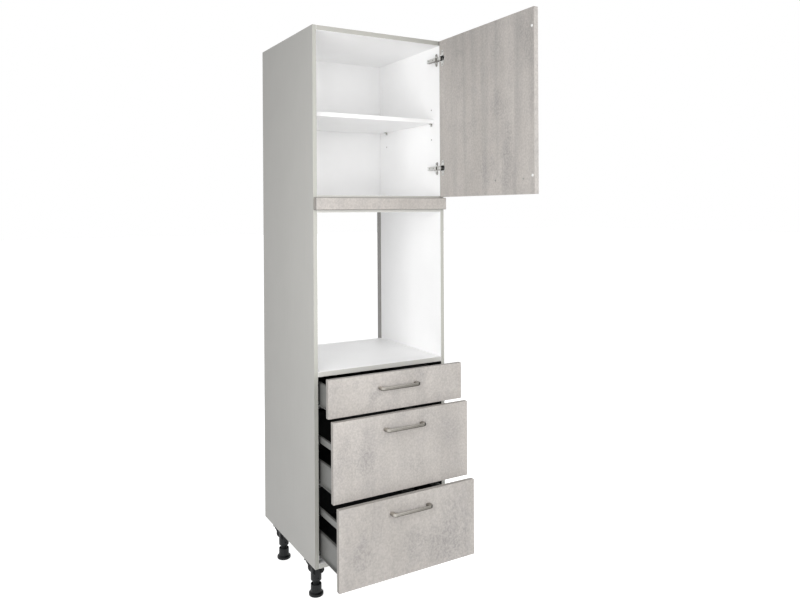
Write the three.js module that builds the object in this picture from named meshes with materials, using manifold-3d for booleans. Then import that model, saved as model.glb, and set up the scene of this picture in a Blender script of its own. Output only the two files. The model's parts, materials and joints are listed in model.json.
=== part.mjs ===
// A tall kitchen unit that houses a built-in oven: a carcass on four screw-in feet, with a door
// compartment at the top, an open niche for the oven in the middle and three steel-sided drawers
// below. The door stands open at a right angle and the drawers are partly drawn out.
//
// Millimetres. +X is to the viewer's right, +Y goes back into the unit and +Z is up. The origin is
// the centre of the niche floor's top face, which the oven stands on. The functions work in "front
// coordinates": Y = 0 is the front plane of the carcass and Z = 0 is its underside. The outer group
// moves them to the origin.
import * as THREE from 'three';
import { mergeVertices } from 'three/addons/utils/BufferGeometryUtils.js';
import Module from 'manifold-3d';

const wasm = await Module();
wasm.setup();

// ---------------------------------------------------------------- driving dimensions

// carcass
const CARCASS_WIDTH = 600;
const CARCASS_DEPTH = 560;
const SIDE_THICKNESS = 16;
const BOARD_THICKNESS = 19;
const NICHE_FLOOR_TOP = 756.5; // from the carcass underside
const NICHE_HEIGHT = 613.5;
const BAND_HEIGHT = 67.5; // niche roof underside to compartment floor top
const COMPARTMENT_HEIGHT = 635.5;
const BACK_THICKNESS = 3.2;
const BACK_RECESS = 32.2; // clear space behind the back panels
const GROOVE_DEPTH = 8;
const GROOVE_CLEARANCE = 0.2; // on each face of a back panel
const BACK_END_LAP = 2; // a back panel stops this far short of the open niche
const SEAT_GAP = 0.3; // between pieces that rest on or against each other

// fronts
const FRONT_THICKNESS = 19;
const FRONT_STANDOFF = 3.5; // closed front's inner face to the carcass
const FRONT_SIDE_REVEAL = 1.5;
const FRONT_BOTTOM_REVEAL = 3.5;
const FRONT_JOINT = 3; // between two drawer fronts
const LOW_FRONT_HEIGHT = 145;
const DEEP_FRONT_HEIGHT = 299;
const TRIM_HEIGHT = 48;
const TRIM_LIFT = 10.5; // niche roof edge that shows below the trim
const DOOR_JOINT = 4; // between the trim and the door
const DOOR_TOP_REVEAL = 1.5;

// shelf
const SHELF_THICKNESS = 16;
const SHELF_BOTTOM = 312; // above the compartment floor's top
const SHELF_SETBACK = 47;
const SHELF_REAR_CLEARANCE = 3;
const SHELF_SIDE_CLEARANCE = 1;
const PIN_RADIUS = 2.5;
const PIN_LENGTH = 9;
const PIN_HOLE_RADIUS = 2.8;
const PIN_HOLE_DEPTH = 10;
const PIN_PITCH = 64;
const PIN_FRONT_Y = 66;
const PIN_REAR_Y = 460;
const SUPPORT_WIDTH = 12;
const SUPPORT_TONGUE = 14;
const SUPPORT_PLATE = 2.4;
const SUPPORT_DROP = 9; // shoulder plate below the tongue

// legs
const LEG_HEIGHT = 140;
const LEG_INSET_X = 38; // leg axis from the carcass side
const LEG_FRONT_Y = 80;
const LEG_REAR_Y = 428;
const SOCKET_FLANGE = 73;
const SOCKET_FLANGE_THICKNESS = 2.5;
const SOCKET_CORNER = 3.5;
const CORNER_PEG_RADIUS = 3.2; // one at each corner of the flange
const CORNER_PEG_DEPTH = 9.5; // below the carcass
const SLEEVE_RADIUS = 21.25;
const SLEEVE_BOTTOM = 83; // below the carcass
const SLEEVE_CHAMFER = 4;
const SLEEVE_CLEARANCE = 0.3;
const STEM_RADIUS = 12.5;
const STEM_TOP = 16;
const BORE_HEADROOM = 3;
const GUSSET_THICKNESS = 4;
const GUSSET_BOTTOM = 55;
const GUSSET_EDGE = [[44, 6], [43, 13], [34, 27], [34, 41], [30, 48], [25, 52]]; // from the axis, and down
const LOCK_HOLE_RADIUS = 2.6;
const LOCK_HOLE_DROP = 67;
const COLLAR_RADIUS = 21.5;
const COLLAR_TOP = 95;
const COLLAR_WALL = 3;
const COLLAR_RECESS = 12;
const FOOT_RADIUS = 29;
const FOOT_RIM = 10;
const FOOT_DOME_TOP = 14; // where the foot's rounded top meets the collar
const FOOT_DOME_STEPS = 5;
const FOOT_EDGE = 2.5;

// drawers
const DRAWER_NAMES = ['top_drawer', 'middle_drawer', 'bottom_drawer'];
const DRAWER_OPEN = [102, 143, 187]; // drawn out by this much
const BOX_LIFT = 16.5; // steel side above the lower edge of its front
const BOTTOM_BOX_LIFT = 40.5; // the same, on the bottom drawer
const DRAWER_LENGTH = 500;
const DRAWER_SIDE_GAP = 12.5;
const DRAWER_SIDE_THICKNESS = 13;
const DRAWER_SIDE_HEIGHT = 86;
const SHEET = 1.5;
const SIDE_HEM = 2; // folded lower edge of a steel side
const SIDE_CHAMFER_WIDTH = 3.5;
const SIDE_CHAMFER_HEIGHT = 6;
const LEDGE_WIDTH = 12;
const DRAWER_BOTTOM_THICKNESS = 16;
const DRAWER_BACK_THICKNESS = 16;
const LOW_BACK_HEIGHT = 84;
const RAIL_LIFT = 69; // rail above the steel side
const RAIL_HEIGHT = 24;
const RAIL_WIDTH = 9;
const RAIL_WALL = 1.2;

// runners, heights from the underside of the drawer's steel side
const RUNNER_START = 2;
const RUNNER_LENGTH = 500;
const RUNNER_TOP = 16.5;
const RUNNER_DROP = 9;
const RUNNER_FOOT_WIDTH = 21.5;
const RUNNER_LIP_WIDTH = 9.5;
const TONGUE_HEIGHT = 3;
const TONGUE_WIDTH = 9.5;
const ROLLER_WIDTH = 8.5;
const FRONT_ROLLER_RADIUS = 5;
const FRONT_ROLLER_Y = 18;
const REAR_ROLLER_RADIUS = 5.6;
const REAR_ROLLER_INSET = 12;

// handles
const HANDLE_PITCH = 160;
const HANDLE_LEG = 16;
const HANDLE_BAR = 9;
const HANDLE_HEIGHT = 13;
const HANDLE_PROJECTION = 31;
const HANDLE_OUTER_RADIUS = 15;
const HANDLE_INNER_RADIUS = 7;
const HANDLE_EASE = 1.2;
const HANDLE_DROP = 55; // handle's centre line to the nearest edge of its front
const DOOR_HANDLE_INSET = 61; // its outer screw to the door's free edge

// door and hinges; plan positions are taken with the door closed
const DOOR_OPEN_ANGLE = Math.PI / 2;
const AXIS_FROM_EDGE = 8.75;
const AXIS_DEPTH = 10.75;
const UPPER_HINGE_FROM_TOP = 75;
const LOWER_HINGE_FROM_BOTTOM = 122;
const CUP_RADIUS = 17.5;
const CUP_WALL = 1.5;
const CUP_DEPTH = 14.6;
const CUP_FROM_EDGE = 20.5;
const CUP_CLEARANCE = 0.3;
const FLANGE_LENGTH = 66;
const FLANGE_WIDTH = 17;
const FLANGE_OFFSET = 3;
const FLANGE_THICKNESS = 0.8;
const FLANGE_GAP = 0.1;
const EAR_START = 7; // from the hinge's middle plane
const EAR_END = 10;
const EAR_REACH = 3.1;
const HINGE_PIN_RADIUS = 1.5;
const HINGE_PIN_LENGTH = 19;
const PIN_PLAY = 0.3;
const FORK_INNER = 3.6;
const FORK_OUTER = 6.4;
const FORK_THICKNESS = 2;
const FORK_BOSS_RADIUS = 2.4;
const ARM_REAR_Y = 74;
const ARM_FRONT_Y = 8;
const ARM_HEIGHT = 16.5; // off the side panel
const ARM_HALF_WIDTH = 7;
const ARM_SCREW_RADIUS = 2.2;
const ARM_SLOT_LENGTH = 9;
const PLATE_THICKNESS = 3;
const PLATE_Y = 23;
const WING_LENGTH = 54;
const WING_WIDTH = 14;
const PLATE_LENGTH = 38;
const PLATE_WIDTH = 18;
const LINK_HALF_WIDTH = 3.2;
const LINK_THICKNESS = 2.4;
const LINK_EYE_RADIUS = 3.3;
const LINK_TIP_RADIUS = 1.8;
const LINK_PIVOT_OFFSET = [-16, 15]; // from the door axis
const LINK_TIP_OFFSET = [-0.25, 7.75]; // the same, door closed

const ROUND_SEGMENTS = 32;
const SMALL_SEGMENTS = 16;

// ---------------------------------------------------------------- derived places

const HALF_WIDTH = CARCASS_WIDTH / 2;
const INNER_HALF = HALF_WIDTH - SIDE_THICKNESS;
const BACK_FRONT_Y = CARCASS_DEPTH - BACK_RECESS - GROOVE_CLEARANCE - BACK_THICKNESS;
const BOARD_DEPTH = BACK_FRONT_Y - SEAT_GAP;
const NICHE_ROOF_BOTTOM = NICHE_FLOOR_TOP + NICHE_HEIGHT;
const COMPARTMENT_FLOOR_TOP = NICHE_ROOF_BOTTOM + BAND_HEIGHT;
const CARCASS_HEIGHT = COMPARTMENT_FLOOR_TOP + COMPARTMENT_HEIGHT + BOARD_THICKNESS;
const SHELF_Z = COMPARTMENT_FLOOR_TOP + SHELF_BOTTOM;
const PIN_Z = SHELF_Z - SEAT_GAP - SUPPORT_PLATE - PIN_RADIUS;

const FRONT_HALF = HALF_WIDTH - FRONT_SIDE_REVEAL;
const TRIM_BOTTOM = NICHE_ROOF_BOTTOM + TRIM_LIFT;
const DOOR_BOTTOM = TRIM_BOTTOM + TRIM_HEIGHT + DOOR_JOINT;
const DOOR_TOP = CARCASS_HEIGHT - DOOR_TOP_REVEAL;
const FRONT_HEIGHTS = [LOW_FRONT_HEIGHT, DEEP_FRONT_HEIGHT, DEEP_FRONT_HEIGHT];
const BOTTOM_FRONT_Z = FRONT_BOTTOM_REVEAL;
const MIDDLE_FRONT_Z = BOTTOM_FRONT_Z + DEEP_FRONT_HEIGHT + FRONT_JOINT;
const TOP_FRONT_Z = MIDDLE_FRONT_Z + DEEP_FRONT_HEIGHT + FRONT_JOINT;
const FRONT_BOTTOMS = [TOP_FRONT_Z, MIDDLE_FRONT_Z, BOTTOM_FRONT_Z];
const BOX_LIFTS = [BOX_LIFT, BOX_LIFT, BOTTOM_BOX_LIFT];

const SIDE_OUTER_X = INNER_HALF - DRAWER_SIDE_GAP;
const SIDE_INNER_X = SIDE_OUTER_X - DRAWER_SIDE_THICKNESS;
const SIDE_FRONT_Y = -FRONT_STANDOFF + SEAT_GAP;
const SIDE_REAR_Y = SIDE_FRONT_Y + DRAWER_LENGTH;
const RAIL_BOTTOM = DRAWER_SIDE_HEIGHT + RAIL_LIFT;
const RAIL_TOP = RAIL_BOTTOM + RAIL_HEIGHT;
const FLOOR_BOTTOM = SHEET + SEAT_GAP; // of a drawer

const AXIS_X = FRONT_HALF - AXIS_FROM_EDGE;
const AXIS_Y = -FRONT_STANDOFF - AXIS_DEPTH;
const CUP_X = FRONT_HALF - CUP_FROM_EDGE;
const DOOR_FACE_Y = -FRONT_STANDOFF;
const LINK_PIVOT_X = AXIS_X + LINK_PIVOT_OFFSET[0];
const LINK_PIVOT_Y = AXIS_Y + LINK_PIVOT_OFFSET[1];

// ---------------------------------------------------------------- materials

const finish = (color, roughness, metalness) =>
  () => new THREE.MeshStandardMaterial({ color, roughness, metalness });
const greyLaminate = finish(0xc3c3bd, 0.55, 0);
const whiteLaminate = finish(0xeeeeec, 0.45, 0);
const whiteBack = finish(0xe4e4e2, 0.6, 0);
const concreteDecor = finish(0xc8c4be, 0.6, 0);
const greySteel = finish(0x6b6b69, 0.4, 0.3);
const darkLaminate = finish(0x2b2b2d, 0.7, 0);
const zincSteel = finish(0x9a9c9e, 0.35, 0.9);
const satinNickel = finish(0x9c978c, 0.32, 0.9);
const blackPlastic = finish(0x38393b, 0.5, 0);

// ---------------------------------------------------------------- geometry helpers

function box(x0, x1, y0, y1, z0, z1) {
  const geometry = new THREE.BoxGeometry(x1 - x0, y1 - y0, z1 - z0);
  return geometry.translate((x0 + x1) / 2, (y0 + y1) / 2, (z0 + z1) / 2);
}

function outline(points) {
  return new THREE.Shape(points.map(([a, b]) => new THREE.Vector2(a, b)));
}

// a shape drawn in X and Y, extruded up
function extrudeUp(shape, z0, z1, bevel = 0) {
  const geometry = new THREE.ExtrudeGeometry(shape, {
    depth: z1 - z0 - 2 * bevel,
    bevelEnabled: bevel > 0,
    bevelThickness: bevel,
    bevelSize: bevel,
    bevelOffset: -bevel,
    bevelSegments: 2,
    curveSegments: 6,
  });
  return geometry.translate(0, 0, z0 + bevel);
}

// a shape drawn in X and Z, extruded back
function extrudeBack(shape, y0, y1) {
  return extrudeUp(shape, -y1, -y0).rotateX(Math.PI / 2);
}

function cylinderUp(radius, x, y, z0, z1, segments = ROUND_SEGMENTS) {
  const geometry = new THREE.CylinderGeometry(radius, radius, z1 - z0, segments);
  return geometry.rotateX(Math.PI / 2).translate(x, y, (z0 + z1) / 2);
}

function cylinderBack(radius, x, z, y0, y1, segments = ROUND_SEGMENTS) {
  const geometry = new THREE.CylinderGeometry(radius, radius, y1 - y0, segments);
  return geometry.translate(x, (y0 + y1) / 2, z);
}

function cylinderAcross(radius, y, z, x0, x1, segments = ROUND_SEGMENTS) {
  const geometry = new THREE.CylinderGeometry(radius, radius, x1 - x0, segments);
  return geometry.rotateZ(Math.PI / 2).translate((x0 + x1) / 2, y, z);
}

function lathe(profile, segments = ROUND_SEGMENTS) {
  const points = profile.map(([r, z]) => new THREE.Vector2(r, z));
  return new THREE.LatheGeometry(points, segments).rotateX(Math.PI / 2);
}

// a strip of constant thickness along a smooth line through points
function strip(points, thickness, steps) {
  const line = new THREE.SplineCurve(points.map(([x, y]) => new THREE.Vector2(x, y)));
  const left = [];
  const right = [];
  for (let i = 0; i <= steps; i += 1) {
    const point = line.getPoint(i / steps);
    const along = line.getTangent(i / steps);
    left.push([point.x - (along.y * thickness) / 2, point.y + (along.x * thickness) / 2]);
    right.unshift([point.x + (along.y * thickness) / 2, point.y - (along.x * thickness) / 2]);
  }
  return outline([...left, ...right]);
}

function toSolid(geometry) {
  const bare = geometry.clone();
  bare.deleteAttribute('normal');
  bare.deleteAttribute('uv');
  const merged = mergeVertices(bare, 1e-4);
  return new wasm.Manifold(new wasm.Mesh({
    numProp: 3,
    vertProperties: new Float32Array(merged.attributes.position.array),
    triVerts: new Uint32Array(merged.index.array),
  }));
}

function toGeometry(solid) {
  const mesh = solid.getMesh();
  const geometry = new THREE.BufferGeometry();
  geometry.setAttribute('position', new THREE.BufferAttribute(mesh.vertProperties, 3));
  geometry.setIndex(new THREE.BufferAttribute(mesh.triVerts, 1));
  geometry.computeVertexNormals();
  return geometry;
}

const join = (...geometries) => toGeometry(geometries.map(toSolid).reduce((a, b) => a.add(b)));
const cut = (geometry, ...tools) =>
  toGeometry(tools.map(toSolid).reduce((a, b) => a.subtract(b), toSolid(geometry)));

function part(group, name, material, geometry) {
  const mesh = new THREE.Mesh(geometry, material());
  mesh.name = name;
  group.add(mesh);
  return mesh;
}

const SIDES = [['left', -1], ['right', 1]];

// ---------------------------------------------------------------- carcass

// a span on one side of the unit, given by its distances from the middle plane
const span = (side, near, far) => (side < 0 ? [-far, -near] : [near, far]);

function sidePanel(side) {
  const grooveX = INNER_HALF + GROOVE_DEPTH;
  const grooveFront = BACK_FRONT_Y - GROOVE_CLEARANCE;
  const grooveRear = BACK_FRONT_Y + BACK_THICKNESS + GROOVE_CLEARANCE;
  const section = outline([
    [side * INNER_HALF, 0],
    [side * HALF_WIDTH, 0],
    [side * HALF_WIDTH, CARCASS_DEPTH],
    [side * INNER_HALF, CARCASS_DEPTH],
    [side * INNER_HALF, grooveRear],
    [side * grooveX, grooveRear],
    [side * grooveX, grooveFront],
    [side * INNER_HALF, grooveFront],
  ]);
  const holes = [];
  for (const y of [PIN_FRONT_Y, PIN_REAR_Y]) {
    for (const step of [-1, 0, 1]) {
      const [x0, x1] = span(side, INNER_HALF - PIN_HOLE_DEPTH, INNER_HALF + PIN_HOLE_DEPTH);
      holes.push(cylinderAcross(PIN_HOLE_RADIUS, y, PIN_Z + step * PIN_PITCH, x0, x1, SMALL_SEGMENTS));
    }
  }
  return cut(extrudeUp(section, 0, CARCASS_HEIGHT), ...holes);
}

// a board that runs across between the side panels
function board(top) {
  const half = INNER_HALF - SEAT_GAP;
  return box(-half, half, 0, BOARD_DEPTH, top - BOARD_THICKNESS, top);
}

function backPanel(z0, z1) {
  const half = INNER_HALF + GROOVE_DEPTH - SEAT_GAP;
  return box(-half, half, BACK_FRONT_Y, BACK_FRONT_Y + BACK_THICKNESS, z0, z1);
}

// fixed to the edges of the two boards behind it, flush with the closed fronts
function trimStrip() {
  const front = -FRONT_STANDOFF - FRONT_THICKNESS;
  return box(-FRONT_HALF, FRONT_HALF, front, -SEAT_GAP, TRIM_BOTTOM, TRIM_BOTTOM + TRIM_HEIGHT);
}

function addCarcass(unit) {
  for (const [label, side] of SIDES) {
    part(unit, `side_panel_${label}`, greyLaminate, sidePanel(side));
  }
  part(unit, 'top_panel', whiteLaminate, board(CARCASS_HEIGHT));
  part(unit, 'compartment_floor', whiteLaminate, board(COMPARTMENT_FLOOR_TOP));
  part(unit, 'niche_roof', whiteLaminate, board(NICHE_ROOF_BOTTOM + BOARD_THICKNESS));
  part(unit, 'niche_floor', whiteLaminate, board(NICHE_FLOOR_TOP));
  part(unit, 'bottom_panel', whiteLaminate, board(BOARD_THICKNESS));
  part(unit, 'back_panel_upper', whiteBack, backPanel(NICHE_ROOF_BOTTOM + BACK_END_LAP, CARCASS_HEIGHT));
  part(unit, 'back_panel_lower', whiteBack, backPanel(0, NICHE_FLOOR_TOP - BACK_END_LAP));
  part(unit, 'trim_strip', concreteDecor, trimStrip());
}

// ---------------------------------------------------------------- shelf

function shelf() {
  const half = INNER_HALF - SHELF_SIDE_CLEARANCE;
  const rear = BACK_FRONT_Y - SHELF_REAR_CLEARANCE;
  return box(-half, half, SHELF_SETBACK, rear, SHELF_Z, SHELF_Z + SHELF_THICKNESS);
}

function shelfSupport(side, y) {
  const wall = INNER_HALF - SEAT_GAP;
  const tongueTop = SHELF_Z - SEAT_GAP;
  const bottom = tongueTop - SUPPORT_PLATE - SUPPORT_DROP;
  const section = outline([
    [side * wall, tongueTop],
    [side * (wall - SUPPORT_TONGUE), tongueTop],
    [side * (wall - SUPPORT_TONGUE), tongueTop - SUPPORT_PLATE / 2],
    [side * (wall - SUPPORT_PLATE * 2), tongueTop - SUPPORT_PLATE],
    [side * (wall - SUPPORT_PLATE), bottom],
    [side * wall, bottom],
  ]);
  const bracket = extrudeBack(section, y - SUPPORT_WIDTH / 2, y + SUPPORT_WIDTH / 2);
  const [x0, x1] = span(side, wall - SUPPORT_PLATE / 2, INNER_HALF + PIN_LENGTH);
  return join(bracket, cylinderAcross(PIN_RADIUS, y, PIN_Z, x0, x1, SMALL_SEGMENTS));
}

function addShelf(unit) {
  part(unit, 'shelf', whiteLaminate, shelf());
  for (const [label, side] of SIDES) {
    part(unit, `shelf_support_front_${label}`, satinNickel, shelfSupport(side, PIN_FRONT_Y));
    part(unit, `shelf_support_rear_${label}`, satinNickel, shelfSupport(side, PIN_REAR_Y));
  }
}

// ---------------------------------------------------------------- legs, about their own axis

function roundedSquare(size, radius) {
  const h = size / 2;
  const shape = new THREE.Shape();
  shape.moveTo(-h + radius, -h);
  shape.lineTo(h - radius, -h);
  shape.absarc(h - radius, -h + radius, radius, -Math.PI / 2, 0, false);
  shape.absarc(h - radius, h - radius, radius, 0, Math.PI / 2, false);
  shape.absarc(-h + radius, h - radius, radius, Math.PI / 2, Math.PI, false);
  shape.absarc(-h + radius, -h + radius, radius, Math.PI, Math.PI * 1.5, false);
  return shape;
}

// one of the four webs that run from the sleeve to the corners of the flange
function gusset(turn) {
  const top = -SEAT_GAP - SOCKET_FLANGE_THICKNESS / 2;
  const section = outline([
    [SLEEVE_RADIUS / 2, top],
    [GUSSET_EDGE[0][0], top],
    ...GUSSET_EDGE.map(([reach, drop]) => [reach, -drop]),
    [SLEEVE_RADIUS - 1, -GUSSET_BOTTOM],
    [SLEEVE_RADIUS / 2, -GUSSET_BOTTOM],
  ]);
  return extrudeBack(section, -GUSSET_THICKNESS / 2, GUSSET_THICKNESS / 2).rotateZ(turn);
}

function legSocket() {
  const top = -SEAT_GAP;
  const flange = extrudeUp(roundedSquare(SOCKET_FLANGE, SOCKET_CORNER), top - SOCKET_FLANGE_THICKNESS, top);
  const sleeve = lathe([
    [0, top - SOCKET_FLANGE_THICKNESS / 2],
    [SLEEVE_RADIUS, top - SOCKET_FLANGE_THICKNESS / 2],
    [SLEEVE_RADIUS, -SLEEVE_BOTTOM + SLEEVE_CHAMFER],
    [SLEEVE_RADIUS - SLEEVE_CHAMFER, -SLEEVE_BOTTOM],
    [0, -SLEEVE_BOTTOM],
  ].reverse());
  const webs = [1, 3, 5, 7].map((eighth) => gusset((eighth * Math.PI) / 4));
  const away = SOCKET_FLANGE / 2 - SOCKET_CORNER;
  const pegTop = top - SOCKET_FLANGE_THICKNESS / 2;
  const pegs = [[-away, -away], [-away, away], [away, -away], [away, away]].map(
    ([x, y]) => cylinderUp(CORNER_PEG_RADIUS, x, y, -CORNER_PEG_DEPTH, pegTop, SMALL_SEGMENTS));
  const body = join(flange, sleeve, ...webs, ...pegs);
  const bore = cylinderUp(STEM_RADIUS + SLEEVE_CLEARANCE, 0, 0, -SLEEVE_BOTTOM - 1, -STEM_TOP + BORE_HEADROOM);
  const lockHole = cylinderBack(
    LOCK_HOLE_RADIUS, 0, -LOCK_HOLE_DROP, -SLEEVE_RADIUS - 1, SLEEVE_RADIUS + 1, SMALL_SEGMENTS);
  return cut(body, bore, lockHole);
}

function screwFoot() {
  const rimTop = -LEG_HEIGHT + FOOT_RIM;
  const dome = [];
  for (let i = 0; i <= FOOT_DOME_STEPS; i += 1) {
    const angle = (i / FOOT_DOME_STEPS) * (Math.PI / 2);
    dome.push([
      COLLAR_RADIUS + (FOOT_RADIUS - COLLAR_RADIUS) * Math.cos(angle),
      rimTop + (FOOT_DOME_TOP - FOOT_RIM) * Math.sin(angle),
    ]);
  }
  const profile = [
    [0, -LEG_HEIGHT],
    [FOOT_RADIUS - FOOT_EDGE, -LEG_HEIGHT],
    [FOOT_RADIUS, -LEG_HEIGHT + FOOT_EDGE],
    ...dome,
    [COLLAR_RADIUS, -COLLAR_TOP],
    [COLLAR_RADIUS - COLLAR_WALL, -COLLAR_TOP],
    [COLLAR_RADIUS - COLLAR_WALL, -COLLAR_TOP - COLLAR_RECESS],
    [STEM_RADIUS, -COLLAR_TOP - COLLAR_RECESS],
    [STEM_RADIUS, -STEM_TOP],
    [0, -STEM_TOP],
  ];
  return lathe(profile);
}

function addLegs(unit) {
  for (const [label, side] of SIDES) {
    for (const [place, y] of [['front', LEG_FRONT_Y], ['rear', LEG_REAR_Y]]) {
      const leg = new THREE.Group();
      leg.position.set(side * (HALF_WIDTH - LEG_INSET_X), y, 0);
      part(leg, `leg_socket_${place}_${label}`, blackPlastic, legSocket());
      part(leg, `foot_${place}_${label}`, blackPlastic, screwFoot());
      unit.add(leg);
    }
  }
}

// ---------------------------------------------------------------- handles

// a bow handle seen from above: X along it, feet at Y = 0, grip towards -Y
function bowHandle() {
  const half = HANDLE_PITCH / 2 + HANDLE_LEG / 2;
  const inner = half - HANDLE_LEG;
  const front = -HANDLE_PROJECTION;
  const back = front + HANDLE_BAR;
  const R = HANDLE_OUTER_RADIUS;
  const r = HANDLE_INNER_RADIUS;
  const shape = new THREE.Shape();
  shape.moveTo(-half, 0);
  shape.lineTo(-half, front + R);
  shape.absarc(-half + R, front + R, R, Math.PI, Math.PI * 1.5, false);
  shape.lineTo(half - R, front);
  shape.absarc(half - R, front + R, R, Math.PI * 1.5, Math.PI * 2, false);
  shape.lineTo(half, 0);
  shape.lineTo(inner, 0);
  shape.lineTo(inner, back + r);
  shape.absarc(inner - r, back + r, r, 0, -Math.PI / 2, true);
  shape.lineTo(-inner + r, back);
  shape.absarc(-inner + r, back + r, r, -Math.PI / 2, -Math.PI, true);
  shape.lineTo(-inner, 0);
  return extrudeUp(shape, -HANDLE_HEIGHT / 2, HANDLE_HEIGHT / 2, HANDLE_EASE);
}

function addHandle(group, name, x, z) {
  const handle = part(group, name, satinNickel, bowHandle());
  handle.position.set(x, -FRONT_STANDOFF - FRONT_THICKNESS - SEAT_GAP, z);
}

// ---------------------------------------------------------------- drawers and runners

// heights are from the underside of the steel side; Y is that of the closed drawer
function drawerSide(side) {
  const outer = SIDE_OUTER_X;
  const inner = SIDE_INNER_X;
  const top = DRAWER_SIDE_HEIGHT;
  const shoulder = top - SIDE_CHAMFER_HEIGHT;
  const section = outline([
    [side * (inner - LEDGE_WIDTH), 0],
    [side * outer, 0],
    [side * outer, TONGUE_HEIGHT],
    [side * (outer + TONGUE_WIDTH), TONGUE_HEIGHT],
    [side * (outer + TONGUE_WIDTH), TONGUE_HEIGHT + SHEET],
    [side * outer, TONGUE_HEIGHT + SHEET],
    [side * outer, shoulder],
    [side * (outer - SIDE_CHAMFER_WIDTH), top],
    [side * inner, top],
    [side * inner, SHEET],
    [side * (inner - LEDGE_WIDTH), SHEET],
  ]);
  section.holes.push(outline([
    [side * (inner + SHEET), SIDE_HEM],
    [side * (inner + SHEET), top - SHEET],
    [side * (outer - SIDE_CHAMFER_WIDTH - SHEET / 2), top - SHEET],
    [side * (outer - SHEET), shoulder - SHEET / 2],
    [side * (outer - SHEET), SIDE_HEM],
  ]));
  const wall = extrudeBack(section, SIDE_FRONT_Y, SIDE_REAR_Y);
  const rollerZ = -RUNNER_DROP + SHEET + SEAT_GAP + REAR_ROLLER_RADIUS;
  const [x0, x1] = span(side, outer - SHEET / 2, outer + ROLLER_WIDTH);
  const roller = cylinderAcross(
    REAR_ROLLER_RADIUS, SIDE_REAR_Y - REAR_ROLLER_INSET, rollerZ, x0, x1, SMALL_SEGMENTS);
  return join(wall, roller);
}

function runner(side) {
  const wall = INNER_HALF - SEAT_GAP;
  const section = outline([
    [side * wall, -RUNNER_DROP],
    [side * (wall - RUNNER_FOOT_WIDTH), -RUNNER_DROP],
    [side * (wall - RUNNER_FOOT_WIDTH), -RUNNER_DROP + SHEET],
    [side * (wall - SHEET), -RUNNER_DROP + SHEET],
    [side * (wall - SHEET), RUNNER_TOP - SHEET],
    [side * (wall - RUNNER_LIP_WIDTH), RUNNER_TOP - SHEET],
    [side * (wall - RUNNER_LIP_WIDTH), RUNNER_TOP],
    [side * wall, RUNNER_TOP],
  ]);
  const channel = extrudeBack(section, RUNNER_START, RUNNER_START + RUNNER_LENGTH);
  const rollerZ = TONGUE_HEIGHT - SEAT_GAP - FRONT_ROLLER_RADIUS;
  const [x0, x1] = span(side, wall - SHEET - ROLLER_WIDTH, wall - SHEET / 2);
  const roller = cylinderAcross(FRONT_ROLLER_RADIUS, FRONT_ROLLER_Y, rollerZ, x0, x1, SMALL_SEGMENTS);
  return join(channel, roller);
}

function drawerBottom() {
  const half = SIDE_INNER_X - SEAT_GAP;
  const rear = SIDE_REAR_Y - DRAWER_BACK_THICKNESS - SEAT_GAP;
  return box(-half, half, SIDE_FRONT_Y, rear, FLOOR_BOTTOM, FLOOR_BOTTOM + DRAWER_BOTTOM_THICKNESS);
}

function lowBack() {
  const half = SIDE_INNER_X - SEAT_GAP;
  return box(-half, half, SIDE_REAR_Y - DRAWER_BACK_THICKNESS, SIDE_REAR_Y, FLOOR_BOTTOM, LOW_BACK_HEIGHT);
}

// spreads over the steel sides above them, where the gallery rails end
function deepBack() {
  const low = SIDE_INNER_X - SEAT_GAP;
  const shoulder = DRAWER_SIDE_HEIGHT + SEAT_GAP;
  const section = outline([
    [-low, FLOOR_BOTTOM],
    [low, FLOOR_BOTTOM],
    [low, shoulder],
    [SIDE_OUTER_X, shoulder],
    [SIDE_OUTER_X, RAIL_TOP],
    [-SIDE_OUTER_X, RAIL_TOP],
    [-SIDE_OUTER_X, shoulder],
    [-low, shoulder],
  ]);
  return extrudeBack(section, SIDE_REAR_Y - DRAWER_BACK_THICKNESS, SIDE_REAR_Y);
}

function galleryRail(side) {
  const middle = side * (SIDE_OUTER_X + SIDE_INNER_X) / 2;
  const rectangle = (inset) => outline([
    [middle - RAIL_WIDTH / 2 + inset, RAIL_BOTTOM + inset],
    [middle + RAIL_WIDTH / 2 - inset, RAIL_BOTTOM + inset],
    [middle + RAIL_WIDTH / 2 - inset, RAIL_TOP - inset],
    [middle - RAIL_WIDTH / 2 + inset, RAIL_TOP - inset],
  ]);
  const section = rectangle(0);
  section.holes.push(rectangle(RAIL_WALL));
  return extrudeBack(section, SIDE_FRONT_Y, SIDE_REAR_Y - DRAWER_BACK_THICKNESS - SEAT_GAP);
}

function drawerFront(height) {
  const rear = -FRONT_STANDOFF;
  return box(-FRONT_HALF, FRONT_HALF, rear - FRONT_THICKNESS, rear, 0, height);
}

function addDrawer(unit, index) {
  const name = DRAWER_NAMES[index];
  const height = FRONT_HEIGHTS[index];
  const deep = height === DEEP_FRONT_HEIGHT;
  const drawer = new THREE.Group();
  drawer.position.set(0, -DRAWER_OPEN[index], FRONT_BOTTOMS[index]);
  part(drawer, `${name}_front`, concreteDecor, drawerFront(height));
  addHandle(drawer, `${name}_handle`, 0, height - HANDLE_DROP);
  const steelBox = new THREE.Group();
  steelBox.position.z = BOX_LIFTS[index];
  part(steelBox, `${name}_bottom`, darkLaminate, drawerBottom());
  part(steelBox, `${name}_back`, darkLaminate, deep ? deepBack() : lowBack());
  for (const [label, side] of SIDES) {
    part(steelBox, `${name}_side_${label}`, greySteel, drawerSide(side));
    if (deep) part(steelBox, `${name}_rail_${label}`, greySteel, galleryRail(side));
    const track = part(unit, `${name}_runner_${label}`, zincSteel, runner(side));
    track.position.z = FRONT_BOTTOMS[index] + BOX_LIFTS[index];
  }
  drawer.add(steelBox);
  unit.add(drawer);
}

// ---------------------------------------------------------------- door and hinges

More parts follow.
